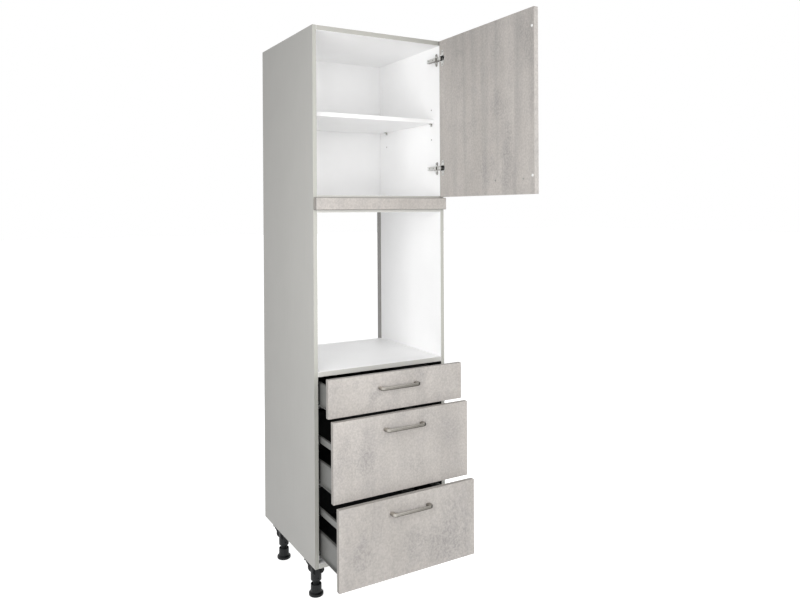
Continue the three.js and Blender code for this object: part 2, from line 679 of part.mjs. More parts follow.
// the shape of a cup hinge's curved neck, from the door axis to the arm, as offsets from the axis
const NECK = [[0, 0], [-6, -1.4], [-11, -1.5], [-13.4, -0.6], [-14.8, 1.8], [-15.4, 5], [-15.8, 9]];

function doorPanel(hingeHeights) {
  const panel = box(-FRONT_HALF, FRONT_HALF, DOOR_FACE_Y - FRONT_THICKNESS, DOOR_FACE_Y, DOOR_BOTTOM, DOOR_TOP);
  const bores = hingeHeights.map((z) => cylinderBack(
    CUP_RADIUS + CUP_CLEARANCE, CUP_X, z, DOOR_FACE_Y - CUP_DEPTH - CUP_CLEARANCE, DOOR_FACE_Y + 1));
  return cut(panel, ...bores);
}

// an upright plate with round ends, drawn in X and Z
function roundEnded(width, length, x) {
  const r = width / 2;
  const straight = length / 2 - r;
  const shape = new THREE.Shape();
  shape.absarc(x, straight, r, 0, Math.PI, false);
  shape.absarc(x, -straight, r, Math.PI, Math.PI * 2, false);
  return shape;
}

// about the hinge's middle height, door closed
function hingeCup() {
  const floor = DOOR_FACE_Y - CUP_DEPTH;
  const flangeRear = DOOR_FACE_Y + FLANGE_GAP;
  const mouth = flangeRear + FLANGE_THICKNESS;
  const shell = cylinderBack(CUP_RADIUS, CUP_X, 0, floor, flangeRear + FLANGE_THICKNESS / 2);
  const flange = extrudeBack(roundEnded(FLANGE_WIDTH, FLANGE_LENGTH, CUP_X - FLANGE_OFFSET), flangeRear, mouth);
  const rim = cylinderBack(CUP_RADIUS - CUP_WALL / 3, CUP_X, 0, floor + 1, mouth);
  const hollow = cylinderBack(CUP_RADIUS - CUP_WALL, CUP_X, 0, floor + CUP_WALL - 0.5, mouth + 1);
  const cup = cut(join(shell, flange, rim), hollow);
  const wallX = CUP_X + CUP_RADIUS - CUP_WALL / 2;
  const ears = [-1, 1].map((up) => {
    const [z0, z1] = span(up, EAR_START, EAR_END);
    const ear = box(AXIS_X - EAR_REACH, wallX, floor + 1, AXIS_Y + EAR_REACH, z0, z1);
    return ear;
  });
  const filled = join(cup, ...ears.map((ear) => insideCup(ear, floor)));
  return cut(filled, cylinderUp(
    HINGE_PIN_RADIUS + PIN_PLAY, AXIS_X, AXIS_Y, -HINGE_PIN_LENGTH / 2 - PIN_PLAY,
    HINGE_PIN_LENGTH / 2 + PIN_PLAY, SMALL_SEGMENTS));
}

// keeps what lies within the cup's outer wall
function insideCup(geometry, floor) {
  const bound = cylinderBack(CUP_RADIUS - CUP_WALL / 2, CUP_X, 0, floor + CUP_WALL / 4, DOOR_FACE_Y);
  return toGeometry(toSolid(geometry).intersect(toSolid(bound)));
}

// the fixed half: cross-shaped plate on the side panel, arm, forked neck and both pins
function hingeArm() {
  const wall = INNER_HALF - SEAT_GAP;
  const plateX = wall - PLATE_THICKNESS;
  const armX = INNER_HALF - ARM_HEIGHT;
  const wing = extrudeUp(roundEnded(WING_WIDTH, WING_LENGTH, 0), -wall, -plateX)
    .rotateY(-Math.PI / 2).rotateX(Math.PI / 2).translate(0, PLATE_Y, 0);
  const foot = box(plateX, wall, PLATE_Y - PLATE_LENGTH / 2, PLATE_Y + PLATE_LENGTH / 2, -PLATE_WIDTH / 2, PLATE_WIDTH / 2);
  const arm = box(armX, plateX + 1, ARM_FRONT_Y, ARM_REAR_Y, -ARM_HALF_WIDTH, ARM_HALF_WIDTH);
  const neckLine = NECK.map(([x, y]) => [AXIS_X + x, AXIS_Y + y]);
  neckLine.push([LINK_PIVOT_X, LINK_PIVOT_Y], [LINK_PIVOT_X, ARM_FRONT_Y + FORK_THICKNESS]);
  const neck = strip(neckLine, FORK_THICKNESS, 16);
  const forks = [-1, 1].flatMap((up) => {
    const [z0, z1] = span(up, FORK_INNER, FORK_OUTER);
    return [
      extrudeUp(neck, z0, z1),
      cylinderUp(FORK_BOSS_RADIUS, AXIS_X, AXIS_Y, z0, z1, SMALL_SEGMENTS),
      cylinderUp(LINK_EYE_RADIUS, LINK_PIVOT_X, LINK_PIVOT_Y, z0, z1, SMALL_SEGMENTS),
    ];
  });
  const axisPin = cylinderUp(
    HINGE_PIN_RADIUS, AXIS_X, AXIS_Y, -HINGE_PIN_LENGTH / 2, HINGE_PIN_LENGTH / 2, SMALL_SEGMENTS);
  const linkPin = cylinderUp(HINGE_PIN_RADIUS, LINK_PIVOT_X, LINK_PIVOT_Y, -FORK_OUTER, FORK_OUTER, SMALL_SEGMENTS);
  const slot = box(armX - 1, armX + ARM_HEIGHT / 2, ARM_REAR_Y - ARM_SLOT_LENGTH, ARM_REAR_Y + 1,
    -ARM_SCREW_RADIUS, ARM_SCREW_RADIUS);
  return cut(join(wing, foot, arm, ...forks, axisPin, linkPin), slot);
}

// the moving link in its own frame: pivot at 0, tip along +X
function hingeLink(length) {
  const line = strip([[0, 0], [4, -2.4], [9, -4.2], [13, -4.6], [length - 1.6, -3.2], [length, 0]],
    LINK_THICKNESS, 14);
  const eye = cylinderUp(LINK_EYE_RADIUS, 0, 0, -LINK_HALF_WIDTH, LINK_HALF_WIDTH, SMALL_SEGMENTS);
  const tip = cylinderUp(LINK_TIP_RADIUS, length, 0, -LINK_HALF_WIDTH, LINK_HALF_WIDTH, SMALL_SEGMENTS);
  const hole = cylinderUp(
    HINGE_PIN_RADIUS + PIN_PLAY, 0, 0, -LINK_HALF_WIDTH - 1, LINK_HALF_WIDTH + 1, SMALL_SEGMENTS);
  return cut(join(extrudeUp(line, -LINK_HALF_WIDTH, LINK_HALF_WIDTH), eye, tip), hole);
}

function addDoor(unit) {
  const hinges = [['upper', DOOR_TOP - UPPER_HINGE_FROM_TOP], ['lower', DOOR_BOTTOM + LOWER_HINGE_FROM_BOTTOM]];
  const swing = new THREE.Group();
  swing.position.set(AXIS_X, AXIS_Y, 0);
  swing.rotation.z = DOOR_OPEN_ANGLE;
  const door = new THREE.Group();
  door.position.set(-AXIS_X, -AXIS_Y, 0);
  swing.add(door);
  unit.add(swing);
  part(door, 'door_panel', concreteDecor, doorPanel(hinges.map(([, z]) => z)));
  addHandle(door, 'door_handle', -FRONT_HALF + DOOR_HANDLE_INSET + HANDLE_PITCH / 2, DOOR_BOTTOM + HANDLE_DROP);

  const tip = new THREE.Vector2(...LINK_TIP_OFFSET).rotateAround(new THREE.Vector2(), DOOR_OPEN_ANGLE);
  const reach = tip.clone().sub(new THREE.Vector2(...LINK_PIVOT_OFFSET));
  for (const [label, z] of hinges) {
    part(door, `hinge_cup_${label}`, satinNickel, hingeCup()).position.z = z;
    part(unit, `hinge_arm_${label}`, satinNickel, hingeArm()).position.z = z;
    const link = part(unit, `hinge_link_${label}`, satinNickel, hingeLink(reach.length()));
    link.position.set(LINK_PIVOT_X, LINK_PIVOT_Y, z);
    link.rotation.z = reach.angle();
  }
}

// ---------------------------------------------------------------- the whole unit

const unit = new THREE.Group();
unit.position.set(0, -CARCASS_DEPTH / 2, -NICHE_FLOOR_TOP);
addCarcass(unit);
addShelf(unit);
addLegs(unit);
DRAWER_NAMES.forEach((name, index) => addDrawer(unit, index));
addDoor(unit);

const group = new THREE.Group();
group.add(unit);
export default group;
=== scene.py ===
import json
import math

import bmesh
import bpy
from mathutils import Matrix, Vector
from mathutils.geometry import tessellate_polygon

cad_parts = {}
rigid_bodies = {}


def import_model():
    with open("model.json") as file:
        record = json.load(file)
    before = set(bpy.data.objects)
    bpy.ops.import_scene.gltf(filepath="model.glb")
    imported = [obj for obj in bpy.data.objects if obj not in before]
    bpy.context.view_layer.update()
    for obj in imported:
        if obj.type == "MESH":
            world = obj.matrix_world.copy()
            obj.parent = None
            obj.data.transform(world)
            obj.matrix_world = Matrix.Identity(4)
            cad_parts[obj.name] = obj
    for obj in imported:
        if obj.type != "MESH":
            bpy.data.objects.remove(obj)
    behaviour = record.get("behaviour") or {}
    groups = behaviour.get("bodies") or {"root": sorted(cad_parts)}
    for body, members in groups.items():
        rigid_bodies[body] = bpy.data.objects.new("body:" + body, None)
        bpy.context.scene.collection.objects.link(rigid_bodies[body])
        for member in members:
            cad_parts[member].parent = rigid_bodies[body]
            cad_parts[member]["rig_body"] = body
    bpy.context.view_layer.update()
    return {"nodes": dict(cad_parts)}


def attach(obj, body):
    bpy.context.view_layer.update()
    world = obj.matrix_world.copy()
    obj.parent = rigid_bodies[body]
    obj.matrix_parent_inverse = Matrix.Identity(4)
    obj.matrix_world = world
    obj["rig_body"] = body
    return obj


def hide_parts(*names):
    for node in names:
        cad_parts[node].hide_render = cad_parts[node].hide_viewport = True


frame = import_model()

MM = 0.001
ORIGIN_Y, ORIGIN_Z = 280.0, 756.5       # the row frame's origin in the front coordinates

OUTER, INNER, DEPTH = 300.0, 284.0, 560.0       # outside and inside half width, and depth
DRAWERS = (("top_drawer", 102, 607.5, 145), ("middle_drawer", 143, 305.5, 299),
           ("bottom_drawer", 187, 3.5, 299))     # name, drawn out by, bottom and height of front
DOOR_IN, DOOR_OUT = 279.0, 298.0        # planes of the open door's two broad faces
HANDLE_HALF = 80                        # half the distance between a handle's screws
DOOR_HANDLE = (-461.5, 1487.5)          # middle of the door's handle, in Y and Z
HINGES = (("upper", 2015.5), ("lower", 1554.5))
CUP_Y, CUP_RADIUS = -26, 16.0           # middle and radius of the hinge cups
MOUTH_Y, MOUTH_HALF = (-33.5, -8.5), 10.5       # depth range and half height of their mouths


def at(x, y, z):
    return Vector((x, y - ORIGIN_Y, z - ORIGIN_Z)) * MM


# ---------------------------------------------------------------- camera

IMAGE = (800, 600)                      # pixels
SENSOR = 36.0


def make_camera():
    focal, u0, v0 = 713.0, 393.3, 211.63        # in pixels
    yaw, pitch, roll = 0.522, -0.0021, -0.0056
    place = at(-1395.6, -2519.7, 1378.3)
    ahead = Vector((math.sin(yaw), math.cos(yaw), 0))
    right = Vector((math.cos(yaw), -math.sin(yaw), 0))
    up = Vector((0, 0, 1))
    look = ahead * math.cos(pitch) + up * math.sin(pitch)
    lift = up * math.cos(pitch) - ahead * math.sin(pitch)
    side = right * math.cos(roll) + lift * math.sin(roll)
    top = lift * math.cos(roll) - right * math.sin(roll)
    data = bpy.data.cameras.new("camera")
    data.sensor_width = SENSOR
    data.lens = focal / IMAGE[0] * SENSOR
    data.shift_x = (IMAGE[0] / 2 - u0) / IMAGE[0]
    data.shift_y = (v0 - IMAGE[1] / 2) / IMAGE[0]
    data.clip_end = 60
    camera = bpy.data.objects.new("camera", data)
    bpy.context.scene.collection.objects.link(camera)
    turn = Matrix((side, top, -look)).transposed().to_4x4()
    camera.matrix_world = Matrix.Translation(place) @ turn
    bpy.context.scene.camera = camera


# ---------------------------------------------------------------- materials

def srgb(r, g, b):
    def linear(c):
        c /= 255
        return c / 12.92 if c <= 0.04045 else ((c + 0.055) / 1.055) ** 2.4
    return (linear(r), linear(g), linear(b), 1.0)


class Shader:
    """A Principled material with a few shorthands for procedural detail. Coordinates are metres."""

    def __init__(self, name, roughness=0.5, metallic=0.0):
        self.material = bpy.data.materials.new(name)
        self.material.use_nodes = True
        self.tree = self.material.node_tree
        self.tree.nodes.clear()
        self.surface = self.add("ShaderNodeBsdfPrincipled", Roughness=roughness, Metallic=metallic)
        self.out = self.add("ShaderNodeOutputMaterial", Surface=self.surface.outputs[0])
        self.out.is_active_output = True
        self.place = self.add("ShaderNodeTexCoord").outputs["Object"]

    def put(self, socket, value):
        if isinstance(value, bpy.types.NodeSocket):
            self.tree.links.new(value, socket)
        else:
            socket.default_value = value

    def add(self, kind, **inputs):
        node = self.tree.nodes.new(kind)
        for key, value in inputs.items():
            self.put(node.inputs[key], value)
        return node

    def set(self, **inputs):
        for key, value in inputs.items():
            self.put(self.surface.inputs[key.replace("_", " ")], value)

    def noise(self, scale, stretch=(1, 1, 1), detail=3.0, roughness=0.5, shift=(0, 0, 0),
              color=False):
        spot = self.add("ShaderNodeMapping", Vector=self.place, Location=shift, Scale=stretch)
        made = self.add("ShaderNodeTexNoise", Vector=spot.outputs[0], Scale=scale, Detail=detail,
                        Roughness=roughness)
        return made.outputs["Color" if color else 0]

    def spread(self, value, low, high, to_low=0.0, to_high=1.0, smooth=False):
        """Carries low to to_low and high to to_high, and stays within the two."""
        node = self.add("ShaderNodeMapRange", Value=value)
        node.interpolation_type = "SMOOTHSTEP" if smooth else "LINEAR"
        for key, number in zip((1, 2, 3, 4), (low, high, to_low, to_high)):
            node.inputs[key].default_value = number
        return node.outputs[0]

    def math(self, kind, a, b=0.0, clamp=False):
        node = self.tree.nodes.new("ShaderNodeMath")
        node.operation = kind
        node.use_clamp = clamp
        self.put(node.inputs[0], a)
        self.put(node.inputs[1], b)
        return node.outputs[0]

    def vector(self, kind, *values):
        node = self.tree.nodes.new("ShaderNodeVectorMath")
        node.operation = kind
        for socket, value in zip(node.inputs, values):
            self.put(socket, value)
        return node.outputs["Value" if kind in ("DOT_PRODUCT", "LENGTH") else "Vector"]

    def mix(self, factor, a, b, kind="MIX"):
        node = self.tree.nodes.new("ShaderNodeMix")
        node.data_type = "RGBA"
        node.blend_type = kind
        self.put(node.inputs[0], factor)
        self.put(node.inputs[6], a)
        self.put(node.inputs[7], b)
        return node.outputs[2]

    def shade(self, color, value, low, high):
        """Multiplies a colour by low to high as value goes from 0 to 1."""
        grey = self.mix(value, (low, low, low, 1), (high, high, high, 1))
        return self.mix(1.0, color, grey, "MULTIPLY")

    def window(self, value, low, high, soft):
        """1 between low and high, both in metres, and 0 outside."""
        rise = self.spread(value, low - soft, low + soft)
        fall = self.spread(value, high + soft, high - soft)
        return self.math("MULTIPLY", rise, fall)

    def axes(self):
        return self.add("ShaderNodeSeparateXYZ", Vector=self.place).outputs

    def turned(self, color, away, light, low, high):
        """Painted shade: goes from the tone away to color as faces turn towards the direction
        light.
        """
        normal = self.add("ShaderNodeTexCoord").outputs["Normal"]
        facing = self.vector("DOT_PRODUCT", normal, light)
        return self.mix(self.spread(facing, low, high), away, color)

    def bump(self, height, strength, distance):
        node = self.add("ShaderNodeBump", Height=height, Strength=strength, Distance=distance)
        self.set(Normal=node.outputs[0])


def laminate(name, color, roughness=0.42, pearl=0.05, lines=0.0):
    """Melamine-faced board: an almost even colour with a faint pearl texture. lines is the
    strength of fine upright lines."""
    s = Shader(name, roughness)
    if lines:
        line = s.noise(230, (1, 1, 0.012), 3, 0.6)
        color = s.shade(color, s.spread(line, 0.3, 0.7), 1 - lines, 1 + lines)
    cloud = s.noise(7, detail=2)
    fine = s.noise(900, detail=2)
    tone = s.shade(color, s.spread(cloud, 0.3, 0.7), 0.985, 1.015)
    s.set(Base_Color=s.shade(tone, s.spread(fine, 0.25, 0.75), 0.985, 1.01))
    s.set(Roughness=s.spread(s.noise(240, detail=2), 0.3, 0.7, roughness - 0.04, roughness + 0.05))
    s.bump(fine, pearl, 0.0002)
    return s.material


def wall_laminate(name, color, dark, edge, soft=0.0005):
    """Inner face of the sides, which turns into a painted shade, the unlit dark of the drawer
    space, below the height edge."""
    s = Shader(name, 0.42)
    tone = s.shade(color, s.spread(s.noise(7, detail=2), 0.3, 0.7), 0.985, 1.01)
    s.set(Base_Color=s.mix(s.spread(s.axes()[2], edge - soft, edge + soft), dark, tone))
    s.bump(s.noise(900, detail=2), 0.05, 0.0002)
    return s.material


def edging_with_painted_shadow(name, color, dark, edge, soft=0.0005):
    """Edging of the top board, with a painted shadow strip at its hinge end, right of edge."""
    s = Shader(name, 0.45)
    tone = s.shade(color, s.spread(s.noise(7, detail=2), 0.3, 0.7), 0.985, 1.015)
    s.set(Base_Color=s.mix(s.spread(s.axes()[0], edge - soft, edge + soft), tone, dark))
    s.bump(s.noise(900, detail=2), 0.05, 0.0002)
    return s.material


def sill_laminate(name, color, dark, edge, soft=0.004):
    """Top face of the bottom board: white in front, and a painted shade, the unlit dark of the
    drawer space, behind edge.
    """
    s = Shader(name, 0.45)
    s.set(Base_Color=s.mix(s.spread(s.axes()[1], edge - soft, edge + soft), color, dark))
    s.bump(s.noise(900, detail=2), 0.05, 0.0002)
    return s.material


def raw_board(name):
    """Chipboard where it is cut or bored."""
    s = Shader(name, 0.9)
    chips = s.noise(420, detail=4, roughness=0.7)
    s.set(Base_Color=s.mix(s.spread(chips, 0.35, 0.65), srgb(96, 84, 70), srgb(146, 130, 110)))
    s.bump(chips, 0.5, 0.0006)
    return s.material


WARP = Vector((0.11, 0.11, 0.13))       # how far noise bends the outline of the darker patches


def concrete(name, light, dark, patch, spots=(), shift=(0, 0, 0), streaks=0.5):
    """Concrete-look decor: vertical trowel streaks, soft clouds and a few mottled darker patches.
    Each spot is (centre, radii, strength) in millimetres, and a radius of 0 leaves out its axis."""
    s = Shader(name, 0.55)
    cloud = s.noise(4.6, (1, 1, 0.5), 4, 0.55, shift)
    wide = s.noise(17, (1, 1, 0.07), 3, 0.5, shift)
    thin = s.noise(85, (1, 1, 0.05), 3, 0.6, shift)
    haze = s.noise(19, (1, 1, 0.8), 6, 0.68, shift)
    clump = s.noise(70, (1, 1, 0.8), 5, 0.7, shift)
    grit = s.noise(150, (1, 1, 0.9), 3, 0.6, shift)
    grain = s.noise(1100, detail=2)
    tone = s.mix(s.spread(cloud, 0.38, 0.66), light, dark)
    tone = s.mix(s.math("MULTIPLY", s.spread(wide, 0.46, 0.68), streaks), tone, patch)
    tone = s.mix(s.spread(haze, 0.5, 0.68, 0.0, 0.26), tone, srgb(156, 152, 153))
    tone = s.shade(tone, s.spread(thin, 0.3, 0.7), 0.99, 1.008)
    bend = s.noise(16, (1, 1, 0.7), 4, 0.6, shift, color=True)
    bent = s.vector("MULTIPLY_ADD", bend, WARP, s.place)
    total = None
    for centre, radii, strength in spots:
        away = s.vector("SUBTRACT", bent, at(*centre) + WARP / 2)
        scaled = s.vector("MULTIPLY", away, [1 / (r * MM) if r else 0 for r in radii])
        reach = s.vector("LENGTH", scaled)
        soft = s.spread(reach, 1.35, 0.25, 0.0, strength, smooth=True)
        total = soft if total is None else s.math("ADD", total, soft, clamp=True)
    if total is not None:
        body = s.math("MULTIPLY", total, s.spread(clump, 0.36, 0.62, 0.34, 0.9))
        body = s.math("MULTIPLY", body, s.spread(grit, 0.36, 0.62, 0.45, 1.0))
        tone = s.mix(body, tone, patch)
    tone = s.shade(tone, s.spread(grit, 0.34, 0.66), 1.09, 0.885)
    s.set(Base_Color=s.shade(tone, s.spread(grain, 0.25, 0.75), 0.98, 1.015))
    s.set(Roughness=s.spread(grit, 0.3, 0.7, 0.5, 0.62))
    s.bump(s.math("ADD", grit, s.math("MULTIPLY", grain, 0.5)), 0.12, 0.0003)
    return s.material


def powder_coat(name, color):
    s = Shader(name, 0.45)
    peel = s.noise(650, detail=3)
    s.set(Base_Color=s.shade(color, s.spread(s.noise(9, (1, 0.3, 1), 3), 0.3, 0.7), 0.97, 1.03))
    s.set(Roughness=s.spread(peel, 0.3, 0.7, 0.4, 0.52), Specular_IOR_Level=0.5)
    s.bump(peel, 0.12, 0.0002)
    return s.material


def metal(name, color, roughness, along=(1, 1, 1), grain=0.12, painted_facets=(), painted_fade=None, painted_cup_shadows=()):
    """Brushed or plated metal. along stretches the grain along one axis. Each facet is what
    turned() takes after the colour, and paints shade on faces turned away from a light. fade is
    (from, to, factor) along X, a painted reflection that darkens the colour. hollows are the
    heights of the painted shadows in the mouths of the hinge cups, in metres."""
    s = Shader(name, roughness, 1.0)
    x, y, z = s.axes()
    # painted reflection: darker along X
    if painted_fade:
        start, end, factor = painted_fade
        color = s.shade(color, s.spread(x, start, end), 1.0, factor)
    # painted shade on faces turned away from each light
    for facet in painted_facets:
        color = s.turned(color, *facet)
    low, high = [(edge - ORIGIN_Y) * MM for edge in MOUTH_Y]
    half, soft = MOUTH_HALF * MM, 0.0006
    # painted shadow in the mouth of each cup
    for height in painted_cup_shadows:
        beyond = s.spread(x, 0.2789, 0.2792)
        mouth = s.math("MULTIPLY", s.window(y, low, high, soft), beyond)
        mouth = s.math("MULTIPLY", mouth, s.window(z, height - half, height + half, soft))
        color = s.mix(mouth, color, srgb(30, 28, 24))
    brush = s.noise(1500, along, 3, 0.6)
    smudge = s.noise(60, detail=3)
    s.set(Base_Color=s.shade(color, s.spread(smudge, 0.3, 0.7), 0.93, 1.04))
    s.set(Roughness=s.spread(brush, 0.3, 0.7, roughness - 0.06, roughness + 0.08))
    s.bump(brush, grain, 0.0001)
    return s.material


def plastic(name, color, roughness, grain=0.25, gloss=0.5):
    s = Shader(name, roughness)
    s.set(Specular_IOR_Level=gloss)
    texture = s.noise(1300, detail=3)
    s.set(Base_Color=s.shade(color, s.spread(s.noise(40, detail=3), 0.3, 0.7), 0.9, 1.12))
    s.set(Roughness=s.spread(texture, 0.3, 0.7, roughness - 0.05, roughness + 0.08))
    s.bump(texture, grain, 0.0002)
    return s.material


# ---------------------------------------------------------------- mesh helpers

def piece(name, bm, body, materials, sharp=35.0, flat_area=None):
    """Turns a bmesh into a piece that rides on a body. Faces above flat_area, in square
    millimetres, are flat shaded."""
    bmesh.ops.recalc_face_normals(bm, faces=bm.faces)
    for edge in bm.edges:
        paired = len(edge.link_faces) == 2
        edge.smooth = paired and edge.calc_face_angle() < math.radians(sharp)
    for face in bm.faces:
        face.smooth = flat_area is None or face.calc_area() * 1e6 < flat_area
    mesh = bpy.data.meshes.new(name)
    bm.to_mesh(mesh)
    bm.free()
    for material in materials:
        mesh.materials.append(material)
    obj = bpy.data.objects.new(name, mesh)
    bpy.context.scene.collection.objects.link(obj)
    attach(obj, body)
    return obj


def dress(node, name, materials, ease=0.5, rule=None, sharp=35.0, flat_area=60.0,
          segments=2, rim=0):
    """A copy of a CAD node with eased edges. rule(centre, normal) picks a face's material, with
    the centre in front coordinates, and rim is the material of the eased edges."""
    cad = frame["nodes"][node]
    mesh = bpy.data.meshes.new("copy")
    mesh.from_pydata([v.co for v in cad.data.vertices], [],
                     [list(p.vertices) for p in cad.data.polygons])
    bm = bmesh.new()
    bm.from_mesh(mesh)
    bpy.data.meshes.remove(mesh)
    bmesh.ops.remove_doubles(bm, verts=bm.verts, dist=2e-6)
    bmesh.ops.dissolve_limit(bm, angle_limit=math.radians(0.8), verts=bm.verts, edges=bm.edges)
    if rule:
        for face in bm.faces:
            c = face.calc_center_median() / MM
            centre = Vector((c.x, c.y + ORIGIN_Y, c.z + ORIGIN_Z))
            face.material_index = rule(centre, face.normal)
    corners = [e for e in bm.edges
               if len(e.link_faces) == 2 and e.calc_face_angle() > math.radians(sharp)]
    bmesh.ops.bevel(bm, geom=corners, offset=ease * MM, offset_type="OFFSET", segments=segments,
                    profile=0.5, affect="EDGES", clamp_overlap=True, material=rim)
    obj = piece(name, bm, cad["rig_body"], materials, sharp, flat_area)
    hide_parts(node)


def ring_points(radius, count):
    angles = [math.tau * i / count for i in range(count)]
    return [(radius * math.cos(a), radius * math.sin(a)) for a in angles]


def spun(bm, profile, move, segments=32, radius_of=None):
    """Adds a closed lathe form whose profile of (radius, height) starts and ends on the axis."""
    rows = []
    for r, z in profile:
        if r < 1e-9:
            rows.append([bm.verts.new(move @ Vector((0, 0, z)))])
            continue
        row = []
        for i in range(segments):
            turn = math.tau * i / segments
            reach = r if radius_of is None else radius_of(r, z, turn)
            spot = Vector((reach * math.cos(turn), reach * math.sin(turn), z))
            row.append(bm.verts.new(move @ spot))
        rows.append(row)
    for low, high in zip(rows, rows[1:]):
        for i in range(segments):
            j = (i + 1) % segments
            loop = [low[i % len(low)], low[j % len(low)], high[j % len(high)], high[i % len(high)]]
            unique = list(dict.fromkeys(loop))
            if len(unique) > 2:
                bm.faces.new(unique)


def aim(point, axis, spin=0.0):
    """A matrix that carries +Z to axis and the origin to point, both in the row frame."""
    turn = Vector(axis).to_track_quat("Z", "Y").to_matrix().to_4x4()
    return Matrix.Translation(point) @ turn @ Matrix.Rotation(spin, 4, "Z")


def cross_points(reach, half):
    return [(half, half), (half, reach), (-half, reach), (-half, half), (-reach, half),
            (-reach, -half), (-half, -half), (-half, -reach), (half, -reach), (half, -half),
            (reach, -half), (reach, half)]


def screw(bm, point, axis, radius, height, spin=0.4, recess=0):
    """A pan head with a cross recess; its underside sits at point. recess is the material of the
    cross."""
    move = aim(point, axis, spin)
    r, h = radius * MM, height * MM
    count, flat = 20, 0.72
    levels = [(r, 0.0), (r, h * 0.45), (r * 0.9, h * 0.85), (r * flat, h)]
    rows = [[bm.verts.new(move @ Vector((x, y, z))) for x, y in ring_points(rr, count)]
            for rr, z in levels]
    for low, high in zip(rows, rows[1:]):
        for i in range(count):
            j = (i + 1) % count
            bm.faces.new([low[i], low[j], high[j], high[i]])
    bm.faces.new(rows[0])
    cross = cross_points(r * 0.55, r * 0.14)
    top = [bm.verts.new(move @ Vector((x, y, h))) for x, y in cross]
    low = [bm.verts.new(move @ Vector((x, y, h * 0.25))) for x, y in cross]
    both = rows[-1] + top
    shape = [[Vector((x, y, 0)) for x, y in ring_points(r * flat, count)],
             [Vector((x, y, 0)) for x, y in cross]]
    for tri in tessellate_polygon(shape):
        bm.faces.new([both[i] for i in tri])
    for i in range(len(cross)):
        j = (i + 1) % len(cross)
        bm.faces.new([top[i], top[j], low[j], low[i]]).material_index = recess
    bm.faces.new(low).material_index = recess


# ---------------------------------------------------------------- finishes

FINISH = {}

# light, dark and patch tones of the concrete-look edges
EDGINGS = {
    # the fronts' edging: the door's edging, painted darker as shade in the gaps between fronts
    "concrete_edge_painted_shade": ((159, 155, 150), (151, 147, 142), (139, 135, 132)),
    "door_edge": ((198, 193, 188), (190, 186, 182), (180, 177, 173)),
    # painted shadow lines along the top and bottom of the trim
    "trim_edge_painted_shadow": ((112, 108, 104), (104, 100, 97), (94, 91, 88)),
    "trim_end": ((158, 153, 147), (147, 142, 137), (132, 129, 125)),
}

# darker patches of the fronts: across, height, the two radii and strength; across is Y on the
# door and X on the rest
PATCHES = {
    "top_drawer": ((96, 738, 60, 36, 0.51), (-195, 722, 20, 30, 0.42),
                   (-105, 660, 40, 30, 0.55), (230, 690, 60, 40, 0.10)),
    "middle_drawer": ((-160, 445, 40, 55, 0.42), (111, 575, 60, 40, 0.42),
                      (-190, 480, 100, 115, 0.30), (207, 505, 70, 70, 0.30),
                      (57, 391, 60, 50, 0.38), (-265, 470, 22, 70, 0.26)),
    "bottom_drawer": ((175, 90, 105, 105, 0.72), (25, 105, 62, 62, 0.51),
                      (-206, 126, 38, 112, 0.55), (215, 215, 70, 60, 0.34)),
    "door": ((-451, 1575, 42, 165, 0.68), (-325, 1525, 38, 80, 0.51),
             (-400, 1770, 58, 60, 0.51), (-570, 1990, 50, 105, 0.51),
             (-393, 2015, 24, 90, 0.34), (-146, 2005, 28, 30, 0.42),
             (-154, 1890, 22, 45, 0.38), (-215, 1700, 60, 60, 0.30)),
    "trim": (),
}


